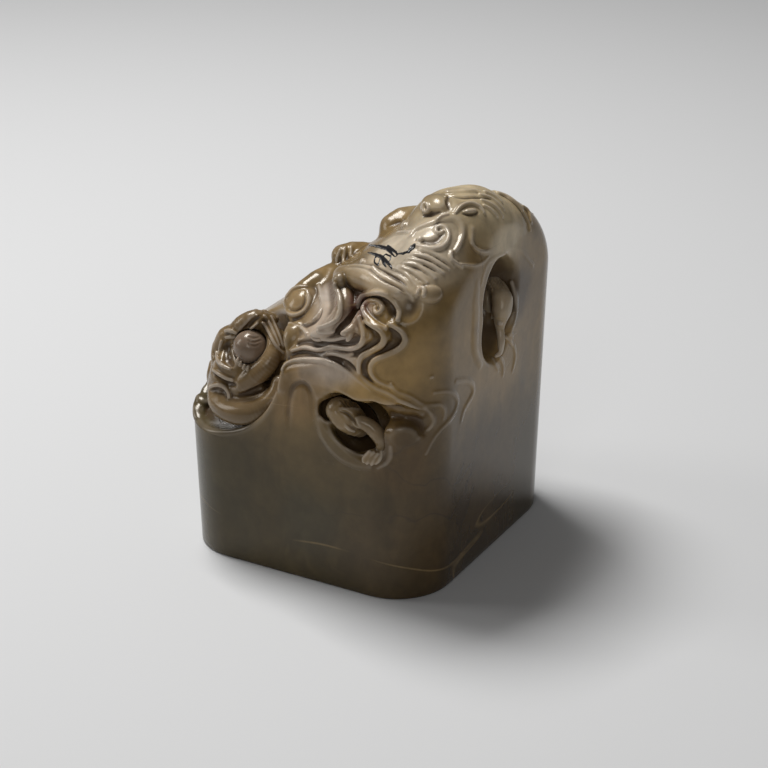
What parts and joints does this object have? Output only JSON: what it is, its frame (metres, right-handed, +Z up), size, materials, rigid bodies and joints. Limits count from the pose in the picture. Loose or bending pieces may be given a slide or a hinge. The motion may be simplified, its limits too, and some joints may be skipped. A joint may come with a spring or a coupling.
{
  "type": "seal stamp",
  "caption": "Square carved stone seal with a sloping dragon-head knob, small figures in hollows, a trapped pearl and a flat printing face.",
  "frame": {"origin": "centre of the printing face, on which the seal stands", "axes": "+Z up through the knob, +X towards the crown's side, -Y towards the side with the low cave"},
  "size_m": [0.0621, 0.0682, 0.0814],
  "materials": {
    "dark_soapstone": "polished, dark olive-brown with faint ochre veins",
    "amber_soapstone": "polished, amber and grey-cream",
    "brown_soapstone": "polished, warm brown",
    "pale_soapstone": "polished, pale and slightly translucent",
    "black_inclusion": "polished, black natural inclusion"
  },
  "bodies": {
    "seal": {"seal_body": "dark_soapstone", "dragon_knob": "amber_soapstone", "crown_beast": "amber_soapstone", "ledge_beast": "brown_soapstone", "low_cave_dragon": "brown_soapstone", "high_cave_dragon": "pale_soapstone", "dark_tendrils": "black_inclusion"},
    "pearl": {"mouth_pearl": "pale_soapstone"}
  },
  "joints": [
    {"name": "pearl_roll", "type": "hinge", "parent": "seal", "child": "pearl", "pos_m": [-0.0148, -0.025, 0.0474], "axis": [1, 0, 0], "continuous": true}
  ]
}
